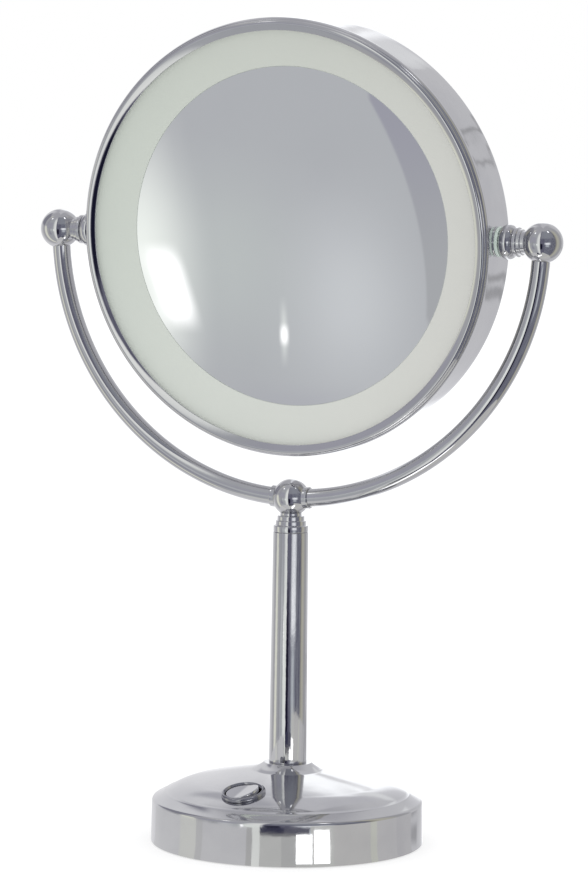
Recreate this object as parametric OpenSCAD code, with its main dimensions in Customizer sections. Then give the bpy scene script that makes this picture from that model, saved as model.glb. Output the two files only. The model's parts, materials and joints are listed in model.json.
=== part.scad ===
// Lighted vanity mirror. A round head with a magnifying mirror in front and a plain mirror behind
// tilts between the balls of a yoke. A slim post carries the yoke over a round, weighted base that
// holds four battery cells and the switch. Millimetres, +Z up, the magnifying side faces -Y, and the
// origin is on the floor under the middle of the base.

/* [Base] */
// Radius of the base at the floor
base_r = 68; // [67.5:0.5:72]
// Height where the side wall of the base turns into its shoulder
base_wall_h = 20.5; // [20:0.5:26]
// Sheet thickness of the base
base_t = 1.2; // [1:0.1:1.4]
// Distance of the switch from the middle of the base
switch_ring_r = 45.5; // [44:0.5:46]
// Turn of the switch away from straight ahead, in degrees
switch_turn = -4; // [-15:1:15]

/* [Post] */
// Length of the post
post_h = 115.7; // [80:0.1:180]
// Radius of the post at its foot
post_foot_r = 9.4; // [8.8:0.1:11]
// Radius of the post at its top
post_top_r = 8.7; // [8.2:0.1:8.8]
// Wall of the post
post_t = 1.2; // [0.8:0.1:2]

/* [Yoke] */
// Radius of the yoke, measured along the middle of its tube
yoke_r = 130; // [128:0.5:136]
// Outer radius of the yoke's tube
arm_r = 4.5; // [4.3:0.1:4.6]
// Wall of the yoke's tube
arm_t = 1; // [0.8:0.1:1.2]
// Radius of the ball at the middle of the yoke
center_ball_r = 9.3; // [9:0.1:10]
// Radius of the balls at the ends of the yoke
side_ball_r = 9.9; // [9.5:0.1:10.5]

/* [Head] */
// Outer radius of the drum
drum_r = 107.5; // [104:0.5:108]
// Distance from the pivots back to the rear face of the drum
drum_rear = 17.5; // [17.5:0.1:22]
// Wall of the drum
drum_t = 1.2; // [1:0.1:1.3]
// Lean of the head towards the front, in degrees
head_lean = 5; // [0:1:20]
// Thickness of both mirror glasses
glass_t = 3; // [2.5:0.1:3]
// Radius of curvature of the magnifying mirror
focus_r = 625; // [500:5:900]
// Number of light-emitting diodes in the ring
led_count = 36; // [18:2:44]

/* [Hidden] */
$fn = 96;
// Overshoot of a cutting tool, and the length of one that runs right through
eps = 0.01;
reach = 300;

// Outline of the base: tapered wall, shoulder, a small step at the band, the dome's rolled edge, the dome, and the
// neck under the post
skirt_z = 0.5;
wall_taper = 0.4;
shoulder_r = 1.9;
band_r = base_r - 6;
band_z = base_wall_h + 4;
edge_r = base_r - 8;
edge_z = base_wall_h + 5.1;
edge_crown = 0.55;
dome_r = base_r - 20.5;
dome_z = base_wall_h + 10.3;
neck_r = 18;
neck_z = base_wall_h + 16.3;
dome_crown = 0.25;
dome_slope = atan((neck_z - dome_z) / (dome_r - neck_r));
neck_top_r = 11.8;
post_z = neck_z + 3.4;

// Heights up the stand
post_top = post_z + post_h;
collar_steps = [[8.6, 3.3], [7.5, 5.7], [6.7, 8.1]];
collar_neck_r = 5.3;
center_z = post_top + 7.8 + center_ball_r;
pivot_z = center_z + yoke_r;

// Bottom plate, pad, weight and the screws that hold them to three bosses under the dome
plate_z = 1.5;
plate_t = 3.5;
plate_top = plate_z + plate_t;
plate_r = base_r - base_t - 0.6;
pad_in_r = 59.5;
pad_out_r = 65;
screw_ring_r = 54;
screw_angles = [90, -35, -145];
screw_r = 2;
screw_head_r = 3.8;
screw_head_t = 2;
screw_top = 26;
boss_r = 4;
weight_r = 63.5;
weight_top = plate_top + 14;
weight_gap = 2;

// Battery box with four AA cells side by side along Y
cell_r = 7.25;
cell_l = 50.5;
cell_pitch = 14.7;
cell_tip_r = 2.75;
cell_tip_l = 1.2;
contact_t = 0.4;
box_y = 4;
box_wall = 1.5;
box_x = 2 * cell_pitch + 0.2;
box_half_l = 28.5;
cell_z = plate_z + 2.2 + cell_r;
box_ceiling = cell_z + cell_r + 0.3;
spring_l = 2 * (box_half_l - contact_t) - cell_l;
spring_turns = 4;
spring_foot_r = 4.5;
spring_tip_r = 2.5;
spring_wire_r = 0.35;

// Battery door: it slides back to free its tongues and then lifts out
door_x = 32.8;
door_half_l = 31.3;
door_t = 1.8;
door_gap = 0.2;
door_travel = 6;
tongue_x = 16;
tongue_w = 8;
tongue_l = 3;
tongue_t = 0.8;
grip_rib_count = 4;
grip_rib_pitch = 3;

// Switch, measured from its seat, which is a little steeper than the dome because it lies near the rolled edge
switch_slope = dome_slope + 3;
switch_seat_z = dome_z + (dome_r - switch_ring_r) * tan(dome_slope);
flange_r = 11;
flange_h = 1.8;
can_r = 9.9;
can_bore_r = 8.9;
can_depth = 12;
can_floor_t = 1.5;
rocker_r = 8.3;
rocker_pin_z = -1.5;
rocker_angle = 8;
rocker_crown = 1.2;
rocker_bottom = -5;
rocker_pin_r = 1.2;
terminal_x = 3.5;
terminal_l = 5;

// Threaded rod through the post, the parts it clamps, and the wires
rod_r = 4;
rod_bore_r = 2.4;
rod_bottom = 29;
rod_top = center_z - arm_r - 0.2;
base_washer_r = 9;
base_washer_t = 1.5;
base_nut_t = 6.5;
base_nut_flats = 13;
wire_r = 1.2;
wire_gap = 0.05;
wire_start_z = 28;

// Pivots, measured outward along the tilt axis
fit_gap = 0.05;
boss_end = drum_r + 0.4;
pivot_boss_r = 7.6;
bush_r = 5.2;
bush_flange_r = 7.3;
bush_end = boss_end + 1.6;
bush_start = drum_r - 2.3;
shaft_r = 4;
shaft_bore_r = 2.2;
washer_r = 6.5;
washer_start = bush_start - 1;
spring_washer_start = washer_start - 0.8;
nut_start = spring_washer_start - 2;
nut_flats = 11;
shaft_start = nut_start - 0.4;
shaft_end = yoke_r - arm_r - 0.2;
bead_start = bush_end + 0.15;
bead_end = bead_start + 7;
bead_r = 8.6;
bead_end_r = 6.2;
pivot_steps = [[7.2, 2], [6.3, 3.9]];
pivot_neck_r = 5.6;
side_ball_x = yoke_r + 0.5;
arm_from = asin(3 / yoke_r);
arm_to = 90 - asin(2.5 / yoke_r);
ferrule_r = 5.4;

// Head, as radius and distance forward of the pivots
edge_h = 13.5;
skirt_r = drum_r - 2.3;
lip_r = drum_r - 5.4;
lip_h = 16.6;
lip_back_h = 15.5;
bezel_front = 17.6;
diffuser_out = [drum_r - 2.6, 15.4];
diffuser_in = [drum_r - 22.9, 6.4];
diffuser_t = 2.2;
diffuser_sag = 0.7;
mirror_r = drum_r - 23.5;
mirror_edge_h = 6.2;
rear_lip_r = drum_r - 8;
rear_bend_r = 3.5;
rear_mirror_r = drum_r - 3.7;
rear_glass_h = drum_t - drum_rear;
carrier_h = rear_glass_h + glass_t;
carrier_t = 1.8;
carrier_out_r = drum_r - 1.7;
seat_in_r = mirror_r - 5;
seat_gap = 0.15;
board_h = carrier_h + carrier_t;
board_t = 1.6;
board_in_r = drum_r - 19.5;
board_out_r = drum_r - 10;
led_ring_r = drum_r - 14.5;
led_size = [2.8, 3.5, 1.6];
resistor_ring_r = drum_r - 17.8;
resistor_size = [1.2, 2, 0.6];
reflector_t = 0.8;
wire_hole_r = 2.2;

chrome = [0.78, 0.80, 0.84];
steel = [0.62, 0.63, 0.65];
brass = [0.80, 0.66, 0.35];
white = [0.93, 0.94, 0.92];
black = [0.12, 0.12, 0.13];

function unit(v) = v / norm(v);
function reversed(list) = [for (i = [len(list) - 1:-1:0]) list[i]];
function arc(center, r, from, to, steps = 8) =
    [for (i = [0:steps]) let (a = from + (to - from) * i / steps) center + r * [cos(a), sin(a)]];
// Points of an arc from a to b that bulges by sag to the left of its way, or to the right below zero
function bow(a, b, sag, steps = 8) =
    let (half = norm(b - a) / 2, r = (half * half + sag * sag) / (2 * sag), along = unit(b - a),
        left = [-along[1], along[0]], center = (a + b) / 2 - left * (r - sag), spread = asin(half / r))
    [for (i = [0:steps]) let (t = spread * (2 * i / steps - 1)) center + r * (left * cos(t) + along * sin(t))];
// Outline of the base, this far inside its outer surface
function base_outline(inset) = concat(
    [[base_r - inset, skirt_z]],
    arc([base_r - wall_taper - shoulder_r, base_wall_h], shoulder_r - inset, 0, 65),
    [[band_r, band_z - inset], [band_r - 0.8, band_z + 0.7 - inset]],
    bow([edge_r, edge_z - inset], [dome_r, dome_z - inset], -edge_crown, 10),
    bow([dome_r - 0.8, dome_z + 0.17 - inset], [neck_r, neck_z - inset], -dome_crown, 10),
    bow([neck_r - 0.4, neck_z + 0.2 - inset], [neck_top_r, post_z - inset], 0.3, 6));
// Place in the base of a point given in the switch's frame
function from_switch(p) = let (x = p[0], y = p[1] * cos(switch_slope) - p[2] * sin(switch_slope) - switch_ring_r,
    z = p[1] * sin(switch_slope) + p[2] * cos(switch_slope) + switch_seat_z)
    [x * cos(switch_turn) - y * sin(switch_turn), x * sin(switch_turn) + y * cos(switch_turn), z];
function on_yoke(angle) = [yoke_r * sin(angle), 0, pivot_z - yoke_r * cos(angle)];

module lathe(points) rotate_extrude() polygon(points);
module washer(r, bore, h) difference() {
    cylinder(r = r, h = h);
    translate([0, 0, -eps]) cylinder(r = bore, h = h + 2 * eps);
}
module hex_nut(flats, bore, h) difference() {
    cylinder(d = flats / cos(30), h = h, $fn = 6);
    translate([0, 0, -eps]) cylinder(r = bore, h = h + 2 * eps);
}
// Box from one corner to the other
module block(from, to) translate(from) cube(to - from);
// Round wire along a path; side is a direction that the path never runs along
module wire(path, side = [0, 1, 0], r = wire_r, sides = 8) {
    last = len(path) - 1;
    points = [for (i = [0:last])
        let (t = unit(path[min(i + 1, last)] - path[max(i - 1, 0)]), u = unit(cross(t, side)), v = cross(u, t))
        for (k = [0:sides - 1]) path[i] + r * (cos(360 * k / sides) * u + sin(360 * k / sides) * v)];
    walls = [for (i = [0:last - 1], k = [0:sides - 1])
        [i * sides + k, i * sides + (k + 1) % sides, (i + 1) * sides + (k + 1) % sides, (i + 1) * sides + k]];
    polyhedron(points, concat(walls, [[for (k = [sides - 1:-1:0]) k]], [[for (k = [0:sides - 1]) last * sides + k]]));
}

// Frames. In the head's frame X stays across and Z runs forward out of the magnifying mirror.
module in_head() translate([0, 0, pivot_z]) rotate([90 + head_lean, 0, 0]) children();
// In a pivot's frame Z runs outward along the tilt axis, on the left (-1) or the right (1).
module in_pivot(side) translate([0, 0, pivot_z]) rotate([0, side * 90, 0]) children();
module in_switch() rotate([0, 0, switch_turn]) translate([0, -switch_ring_r, switch_seat_z])
    rotate([switch_slope, 0, 0]) children();
module at_screws(z) for (a = screw_angles) rotate([0, 0, a]) translate([screw_ring_r, 0, z]) children();
module pivot_ring(side, from, to, r, bore) in_pivot(side) translate([0, 0, from]) washer(r, bore, to - from);
// Stretch of the yoke's tube between two angles, measured up from its lowest point
module yoke_bar(side, from, to, r, bore = 0) translate([0, 0, pivot_z]) rotate([90, 0, 0])
    rotate_extrude(start = side > 0 ? 270 + from : 270 - to, angle = to - from) translate([yoke_r, 0]) difference() {
        circle(r);
        if (bore > 0) circle(bore);
    }

module base_shell() color(chrome) difference() {
    union() {
        lathe(concat(base_outline(0), [[rod_r + fit_gap, post_z], [rod_r + fit_gap, post_z - base_t]],
            reversed(base_outline(base_t))));
        intersection() {
            at_screws(weight_top) cylinder(r = boss_r, h = neck_z);
            lathe(concat([[0, skirt_z]], base_outline(base_t / 2), [[0, post_z - base_t / 2]]));
        }
    }
    at_screws(weight_top - 1) cylinder(r = screw_r, h = screw_top - weight_top + 1.5);
    in_switch() translate([0, 0, -can_depth]) cylinder(r = can_r + 0.1, h = 2 * can_depth);
}
module base_weight() color(steel) difference() {
    translate([0, 0, plate_top]) cylinder(r = weight_r, h = weight_top - plate_top);
    block([-box_x - box_wall - weight_gap, box_y - box_half_l - box_wall - weight_gap, plate_top - 1],
        [box_x + box_wall + weight_gap, box_y + box_half_l + box_wall + weight_gap, weight_top + 1]);
    rotate([0, 0, switch_turn]) translate([0, -switch_ring_r, plate_top - 1]) {
        cylinder(r = can_r + 2.6, h = weight_top);
        translate([-can_r, 0, 0]) cube([2 * can_r, switch_ring_r, weight_top]);
    }
    at_screws(plate_top - 1) cylinder(r = screw_r + 0.3, h = weight_top);
}
module bottom_plate() color(black) difference() {
    translate([0, 0, plate_z]) cylinder(r = plate_r, h = plate_t);
    block([-box_x, box_y - box_half_l, plate_z - 1], [box_x, box_y + box_half_l, plate_top + 1]);
    block([-door_x - door_gap, box_y - door_half_l - door_gap, plate_z - 1],
        [door_x + door_gap, box_y + door_half_l + door_gap + door_travel, plate_z + door_t + door_gap]);
    for (x = [-tongue_x, tongue_x])
        block([x - tongue_w / 2 - door_gap, box_y - door_half_l - tongue_l - 2 * door_gap, plate_z + 0.9],
            [x + tongue_w / 2 + door_gap, box_y - door_half_l, plate_z + door_t + door_gap]);
    at_screws(plate_z - 1) cylinder(r = screw_r + 0.2, h = plate_t + 2);
    at_screws(plate_z - 1) cylinder(r = screw_head_r + 0.2, h = 1 + screw_head_t);
}
module base_pad() color(black) washer(pad_out_r, pad_in_r, plate_z);
module plate_screws() color(steel) at_screws(plate_z) difference() {
    union() {
        cylinder(r = screw_head_r, h = screw_head_t);
        cylinder(r = screw_r, h = screw_top - plate_z);
    }
    for (a = [0, 90]) rotate([0, 0, a]) translate([-2, -0.4, -1]) cube([4, 0.8, 2.2]);
}

module battery_box() color(black) difference() {
    block([-box_x - box_wall, box_y - box_half_l - box_wall, plate_top],
        [box_x + box_wall, box_y + box_half_l + box_wall, box_ceiling + box_wall]);
    block([-box_x, box_y - box_half_l, plate_top - 1], [box_x, box_y + box_half_l, box_ceiling]);
}
// Cells lie head to tail: flip is 1 where the cell's tip points to the back
module at_cells() for (i = [0:3]) let (flip = i % 2 == 0 ? 1 : -1)
    translate([(i - 1.5) * cell_pitch, box_y, cell_z]) rotate([flip * -90, 0, 0]) children();
module batteries() color(brass) at_cells() translate([0, 0, box_half_l - contact_t - cell_l]) {
    cylinder(r = cell_r, h = cell_l - cell_tip_l);
    cylinder(r = cell_tip_r, h = cell_l);
}
module battery_springs() color(steel) at_cells() translate([0, 0, contact_t - box_half_l])
    wire([for (i = [0:spring_turns * 10]) let (t = i / (spring_turns * 10), a = 36 * i)
        [cos(a) * (spring_foot_r + (spring_tip_r - spring_foot_r) * t),
         sin(a) * (spring_foot_r + (spring_tip_r - spring_foot_r) * t),
         spring_wire_r + (spring_l - 2 * spring_wire_r) * t]], [0, 0, 1], spring_wire_r, 6);
module battery_contacts() color(steel) {
    back = [[-2, 0], [0, 2]];
    front = [[-2, -1], [-1, 1], [1, 2]];
    for (span = back) contact_plate(span, box_y + box_half_l - contact_t);
    for (span = front) contact_plate(span, box_y - box_half_l);
}
// Flat contact across the cells between two multiples of the pitch
module contact_plate(span, y) block([span[0] * cell_pitch + 0.5, y, cell_z - cell_r + 1],
    [span[1] * cell_pitch - 0.5, y + contact_t, cell_z + cell_r - 1]);
module battery_door() color(black) {
    difference() {
        block([-door_x, box_y - door_half_l, plate_z + door_gap / 2],
            [door_x, box_y + door_half_l, plate_z + door_gap / 2 + door_t]);
        for (i = [0:grip_rib_count - 1])
            block([-10, box_y + door_half_l - 6 - i * grip_rib_pitch, plate_z],
                [10, box_y + door_half_l - 4.8 - i * grip_rib_pitch, plate_z + 0.6]);
    }
    for (x = [-tongue_x, tongue_x])
        block([x - tongue_w / 2, box_y - door_half_l - tongue_l, plate_z + door_gap / 2 + door_t - tongue_t],
            [x + tongue_w / 2, box_y - door_half_l + 1, plate_z + door_gap / 2 + door_t]);
}

module switch_housing() color(black) in_switch() difference() {
    lathe(concat([[0, -can_depth], [can_r, -can_depth], [can_r, 0], [flange_r, 0]],
        arc([flange_r - 1.3, flange_h - 1.3], 1.3, 0, 90, 6),
        [[can_bore_r + 0.7, flange_h], [can_bore_r, flange_h - 0.8], [can_bore_r, can_floor_t - can_depth],
         [0, can_floor_t - can_depth]]));
    translate([0, 0, rocker_pin_z]) rotate([90, 0, 0])
        cylinder(r = rocker_pin_r + fit_gap, h = 2 * can_r - 0.2, center = true);
}
module switch_terminals() color(brass) in_switch() for (x = [-terminal_x, terminal_x])
    translate([x - 0.4, -2.4, -can_depth - terminal_l]) cube([0.8, 4.8, terminal_l]);
// The rocker rests with its left end pressed down
module rocker_button() color(chrome) in_switch() translate([0, 0, rocker_pin_z]) rotate([0, -rocker_angle, 0]) {
    rise = rocker_crown - rocker_pin_z;
    end = rocker_r + 1;
    intersection() {
        translate([0, 0, rocker_bottom - rocker_pin_z]) cylinder(r = rocker_r, h = 12);
        rotate([90, 0, 0]) linear_extrude(2 * end, center = true) polygon([
            [-end, rocker_bottom - rocker_pin_z], [end, rocker_bottom - rocker_pin_z],
            [end, rise + end * tan(rocker_angle)], [0, rise], [-end, rise + end * tan(rocker_angle)]]);
    }
    rotate([90, 0, 0]) cylinder(r = rocker_pin_r, h = 2 * can_r - 0.4, center = true);
}

// Place of a wire's end, this far below the switch terminal on the left (-1) or the right (1)
function below_terminal(side, gap) = from_switch([side * terminal_x, 0, -can_depth - terminal_l - gap]);
module battery_lead() color("red") {
    tip = below_terminal(-1, wire_gap);
    front = box_y - box_half_l - box_wall;
    wire([[tip[0], front, 15], [tip[0], front - 3, 15], [tip[0], front - 7, 13], [tip[0], front - 11, 11.5],
        [tip[0], tip[1] + 1.4, 11.6], below_terminal(-1, 1.4), tip], [1, 0, 0]);
}
module switch_lead() color(black) {
    tip = below_terminal(1, wire_gap);
    wire([tip, below_terminal(1, 1.4), [tip[0], tip[1] + 1.4, 11.6], [tip[0], -36, 12], [tip[0], -32, 15],
        [0, -28, 21], [0, -22, 23.6], [0, -10, 23.8], [0, -3.5, 24.2], [0, -0.8, 25.4],
        [0, 0, wire_start_z - 1], [0, 0, wire_start_z - wire_gap]], [1, 0, 0]);
}
module yoke_lead() color(black) wire(concat(
    [[0, 0, wire_start_z]],
    [for (a = [180:-15:105]) [5 + 5 * cos(a), 0, center_z - 5 + 5 * sin(a)]],
    [for (a = [asin(5.6 / yoke_r):5:86]) on_yoke(a)],
    [for (a = [0:15:90]) [yoke_r - 4 + 4 * cos(a), 0, pivot_z - 4 + 4 * sin(a)]],
    [[shaft_start + 0.2, 0, pivot_z]]));

module tie_rod() color(steel) translate([0, 0, rod_bottom]) washer(rod_r, rod_bore_r, rod_top - rod_bottom);
module base_washer() color(steel) translate([0, 0, post_z - base_t - base_washer_t])
    washer(base_washer_r, rod_r, base_washer_t);
module base_nut() color(steel) translate([0, 0, post_z - base_t - base_washer_t - base_nut_t])
    hex_nut(base_nut_flats, rod_r, base_nut_t);
module post_tube() color(chrome) lathe([[post_foot_r - post_t, post_z], [post_foot_r, post_z],
    [post_top_r, post_top], [post_top_r - post_t, post_top]]);
module post_collar() color(chrome) translate([0, 0, post_top]) difference() {
    lathe([[rod_r, 0], [collar_steps[0][0], 0],
        [collar_steps[0][0], collar_steps[0][1] - 0.5], [collar_steps[0][0] - 0.5, collar_steps[0][1]],
        [collar_steps[1][0], collar_steps[0][1]],
        [collar_steps[1][0], collar_steps[1][1] - 0.5], [collar_steps[1][0] - 0.5, collar_steps[1][1]],
        [collar_steps[2][0], collar_steps[1][1]],
        [collar_steps[2][0], collar_steps[2][1] - 0.5], [collar_steps[2][0] - 0.5, collar_steps[2][1]],
        [collar_neck_r, collar_steps[2][1]], [collar_neck_r, center_ball_r], [rod_r, center_ball_r]]);
    translate([0, 0, center_z - post_top]) sphere(center_ball_r);
}

module center_ball() color(chrome) difference() {
    translate([0, 0, center_z]) sphere(center_ball_r);
    yoke_bar(1, -8, 8, arm_r);
    translate([0, 0, center_z - 2 * center_ball_r]) cylinder(r = rod_r, h = 2 * center_ball_r);
}
module yoke_arm(side) color(chrome) yoke_bar(side, arm_from, arm_to, arm_r, arm_r - arm_t);
module arm_ferrule(side) color(chrome) difference() {
    yoke_bar(side, 3, 4.5, ferrule_r, arm_r);
    translate([0, 0, center_z]) sphere(center_ball_r);
}
module side_ball(side) color(chrome) difference() {
    translate([side * side_ball_x, 0, pivot_z]) sphere(side_ball_r);
    in_pivot(side) translate([0, 0, side_ball_x - 2 * side_ball_r]) {
        cylinder(r = shaft_r, h = shaft_end - side_ball_x + 2 * side_ball_r);
        cylinder(r = shaft_bore_r, h = 2 * side_ball_r);
    }
    yoke_bar(side, 84, 91, arm_r);
}
module pivot_collar(side) color(chrome) difference() {
    in_pivot(side) translate([0, 0, bead_end]) lathe([[shaft_r, 0], [pivot_steps[0][0], 0],
        [pivot_steps[0][0], pivot_steps[0][1] - 0.4], [pivot_steps[0][0] - 0.4, pivot_steps[0][1]],
        [pivot_steps[1][0], pivot_steps[0][1]],
        [pivot_steps[1][0], pivot_steps[1][1] - 0.3], [pivot_steps[1][0] - 0.3, pivot_steps[1][1]],
        [pivot_neck_r, pivot_steps[1][1]], [pivot_neck_r, side_ball_x - bead_end], [shaft_r, side_ball_x - bead_end]]);
    translate([side * side_ball_x, 0, pivot_z]) sphere(side_ball_r);
}
module pivot_bead(side) color(chrome) in_pivot(side) translate([0, 0, bead_start])
    lathe(concat([[shaft_r, 0]], bow([bead_end_r, 0], [bead_end_r, bead_end - bead_start], bead_end_r - bead_r, 12),
        [[shaft_r, bead_end - bead_start]]));
module pivot_shaft(side) color(steel) pivot_ring(side, shaft_start, shaft_end, shaft_r, shaft_bore_r);
module pivot_washer(side) color(steel) pivot_ring(side, washer_start, bush_start - 0.1, washer_r, shaft_r);
module spring_washer(side) color(steel) in_pivot(side) translate([0, 0, spring_washer_start]) difference() {
    washer(washer_r - 0.3, shaft_r + 0.1, washer_start - spring_washer_start);
    translate([0, -0.4, -1]) cube([washer_r, 0.8, 3]);
}
module lock_nut(side) color(steel) in_pivot(side) translate([0, 0, nut_start])
    hex_nut(nut_flats, shaft_r, spring_washer_start - nut_start);

module drum_shell() color(chrome) difference() {
    in_head() lathe(concat(
        [[rear_lip_r, -drum_rear]],
        arc([drum_r - rear_bend_r, rear_bend_r - drum_rear], rear_bend_r, -90, 0),
        [[drum_r, edge_h], [drum_r - drum_t, edge_h]],
        arc([drum_r - rear_bend_r, rear_bend_r - drum_rear], rear_bend_r - drum_t, 0, -90),
        [[rear_lip_r, drum_t - drum_rear]]));
    for (side = [-1, 1]) in_pivot(side) cylinder(r = bush_r, h = reach);
}
module front_bezel() color(chrome) in_head() lathe(concat(
    [[skirt_r, 10.5], [drum_r - drum_t, 10.5], [drum_r - drum_t, edge_h], [drum_r, edge_h], [drum_r, 12]],
    bow([drum_r + 0.4, 12], [drum_r - 0.2, 16.2], -0.7),
    bow([drum_r - 0.4, 16.3], [drum_r - 2.5, bezel_front], -0.5),
    [[lip_r, lip_h], [lip_r, lip_back_h], [skirt_r, lip_back_h]]));
module light_diffuser() color(white) in_head() lathe(concat(
    bow(diffuser_out, diffuser_in, diffuser_sag, 10),
    bow(diffuser_in - [0, diffuser_t], diffuser_out - [0, diffuser_t], -diffuser_sag, 10)));
// Bent glass of even thickness whose hollow side faces forward
function dish(r, at) = mirror_edge_h + sqrt(focus_r * focus_r - mirror_r * mirror_r) - sqrt(r * r - at * at);
module magnifying_mirror() color([0.7, 0.72, 0.75]) in_head() lathe(concat(
    [for (i = [0:20]) [mirror_r * i / 20, dish(focus_r, mirror_r * i / 20)]],
    [for (i = [20:-1:0]) [mirror_r * i / 20, dish(focus_r + glass_t, mirror_r * i / 20)]]));
module mirror_carrier() color(white) in_head() {
    wall_r = mirror_r + seat_gap;
    seat_h = dish(focus_r + glass_t, mirror_r) - 0.1;
    lathe([[wall_r, carrier_h], [carrier_out_r, carrier_h], [carrier_out_r, board_h], [wall_r + carrier_t, board_h],
        [wall_r + carrier_t, diffuser_in[1] - diffuser_t], [wall_r, diffuser_in[1] - diffuser_t], [wall_r, seat_h],
        [seat_in_r, dish(focus_r + glass_t, seat_in_r) - 0.1], [seat_in_r, seat_h - 2.5], [wall_r, seat_h - 2.5]]);
}
module rear_mirror() color([0.7, 0.72, 0.75]) in_head() translate([0, 0, rear_glass_h])
    cylinder(r = rear_mirror_r, h = glass_t);
module light_reflector() color(white) difference() {
    in_head() lathe([[drum_r - 8.1 - reflector_t, board_h], [drum_r - 8.1, board_h], [drum_r - 6.9, 7.2],
        [drum_r - 3.3, 12.2], [drum_r - 3.3 - reflector_t, 12.2], [drum_r - 6.9 - reflector_t, 7.2]]);
    in_pivot(1) cylinder(r = wire_hole_r, h = reach);
}
module led_board() color(white) in_head() translate([0, 0, board_h]) washer(board_out_r, board_in_r, board_t);
// A ring of blocks standing on the board, half a step away from the wire
module board_ring(count, r, size) in_head() for (i = [0:count - 1]) rotate([0, 0, 360 * (i + 0.5) / count])
    translate([r - size[0] / 2, -size[1] / 2, board_h + board_t]) cube(size);
module leds() color([0.95, 0.9, 0.5]) board_ring(led_count, led_ring_r, led_size);
module led_resistors() color(black) board_ring(led_count / 3, resistor_ring_r, resistor_size);
module pivot_boss(side) color(chrome) difference() {
    pivot_ring(side, drum_r - 4, boss_end, pivot_boss_r, bush_r);
    in_head() cylinder(r = drum_r, h = 4 * pivot_boss_r, center = true, $fn = 720);
}
module pivot_bush(side) color([0.85, 0.93, 0.9]) {
    pivot_ring(side, boss_end, bush_end, bush_flange_r, shaft_r + fit_gap);
    pivot_ring(side, bush_start, boss_end, bush_r, shaft_r + fit_gap);
}
module head_lead() color("red") in_head() wire([[shaft_start - 0.3, 0, 0], [led_ring_r + 5, 0, 0],
    [led_ring_r + 2.5, 0, -0.7], [led_ring_r + 0.7, 0, -2.6], [led_ring_r, 0, -5], [led_ring_r, 0, board_h + board_t]]);

base_shell();
base_weight();
bottom_plate();
base_pad();
plate_screws();
battery_box();
batteries();
battery_springs();
battery_contacts();
battery_door();
switch_housing();
switch_terminals();
rocker_button();
battery_lead();
switch_lead();
yoke_lead();
tie_rod();
base_washer();
base_nut();
post_tube();
post_collar();
center_ball();
yoke_arm(-1);  // yoke_arm_left
yoke_arm(1);  // yoke_arm_right
arm_ferrule(-1);  // arm_ferrule_left
arm_ferrule(1);  // arm_ferrule_right
side_ball(-1);  // ball_left
side_ball(1);  // ball_right
pivot_collar(-1);  // pivot_collar_left
pivot_collar(1);  // pivot_collar_right
pivot_bead(-1);  // pivot_bead_left
pivot_bead(1);  // pivot_bead_right
pivot_shaft(-1);  // pivot_shaft_left
pivot_shaft(1);  // pivot_shaft_right
pivot_washer(-1);  // pivot_washer_left
pivot_washer(1);  // pivot_washer_right
spring_washer(-1);  // spring_washer_left
spring_washer(1);  // spring_washer_right
lock_nut(-1);  // lock_nut_left
lock_nut(1);  // lock_nut_right
drum_shell();
front_bezel();
light_diffuser();
magnifying_mirror();
mirror_carrier();
rear_mirror();
light_reflector();
led_board();
leds();
led_resistors();
pivot_boss(-1);  // pivot_boss_left
pivot_boss(1);  // pivot_boss_right
pivot_bush(-1);  // pivot_bush_left
pivot_bush(1);  // pivot_bush_right
head_lead();
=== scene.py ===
"""Lighted vanity mirror: a chrome drum head on a yoke, a slim post and a round weighted base.

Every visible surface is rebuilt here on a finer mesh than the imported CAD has, in the same frame and
to the same dimensions, and gets a procedural material. Outlines are in millimetres; meshes are in metres.
"""

import json
import math

import bmesh
import bpy
from mathutils import Matrix, Vector

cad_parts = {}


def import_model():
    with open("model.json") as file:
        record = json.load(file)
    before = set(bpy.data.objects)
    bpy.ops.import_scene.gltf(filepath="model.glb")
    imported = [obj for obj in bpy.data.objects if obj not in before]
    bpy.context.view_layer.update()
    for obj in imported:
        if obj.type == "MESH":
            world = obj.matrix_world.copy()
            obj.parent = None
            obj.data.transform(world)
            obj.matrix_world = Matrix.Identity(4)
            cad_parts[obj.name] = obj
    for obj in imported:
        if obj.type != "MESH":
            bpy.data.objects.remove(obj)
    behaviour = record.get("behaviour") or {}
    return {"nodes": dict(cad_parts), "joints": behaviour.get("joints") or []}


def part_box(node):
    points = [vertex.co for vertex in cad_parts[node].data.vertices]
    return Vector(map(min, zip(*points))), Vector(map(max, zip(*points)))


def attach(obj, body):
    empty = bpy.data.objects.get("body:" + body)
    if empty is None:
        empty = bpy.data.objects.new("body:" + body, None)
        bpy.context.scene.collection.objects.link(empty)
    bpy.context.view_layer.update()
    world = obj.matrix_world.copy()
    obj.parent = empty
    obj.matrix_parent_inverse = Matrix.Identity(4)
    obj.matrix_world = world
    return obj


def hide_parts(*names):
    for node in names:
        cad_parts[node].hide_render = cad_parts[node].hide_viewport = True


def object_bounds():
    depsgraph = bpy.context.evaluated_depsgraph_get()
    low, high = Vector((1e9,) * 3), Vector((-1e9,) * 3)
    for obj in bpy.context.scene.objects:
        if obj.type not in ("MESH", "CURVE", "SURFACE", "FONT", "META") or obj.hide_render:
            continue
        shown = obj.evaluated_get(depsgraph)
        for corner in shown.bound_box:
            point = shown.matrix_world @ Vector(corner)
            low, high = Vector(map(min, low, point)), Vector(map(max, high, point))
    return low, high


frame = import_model()
cad_low, cad_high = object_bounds()

MM = 0.001
SIDES = {"left": -1, "right": 1}

# ---------------------------------------------------------------- sizes
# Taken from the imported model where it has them.


def node_size(node):
    low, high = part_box(node)
    return (high - low) / MM


def joint(name):
    return next(j for j in frame["joints"] if j["name"] == name)


PIVOT_Z = joint("head_tilt")["pos_m"][2] / MM
SHEET = 1.2

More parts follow.
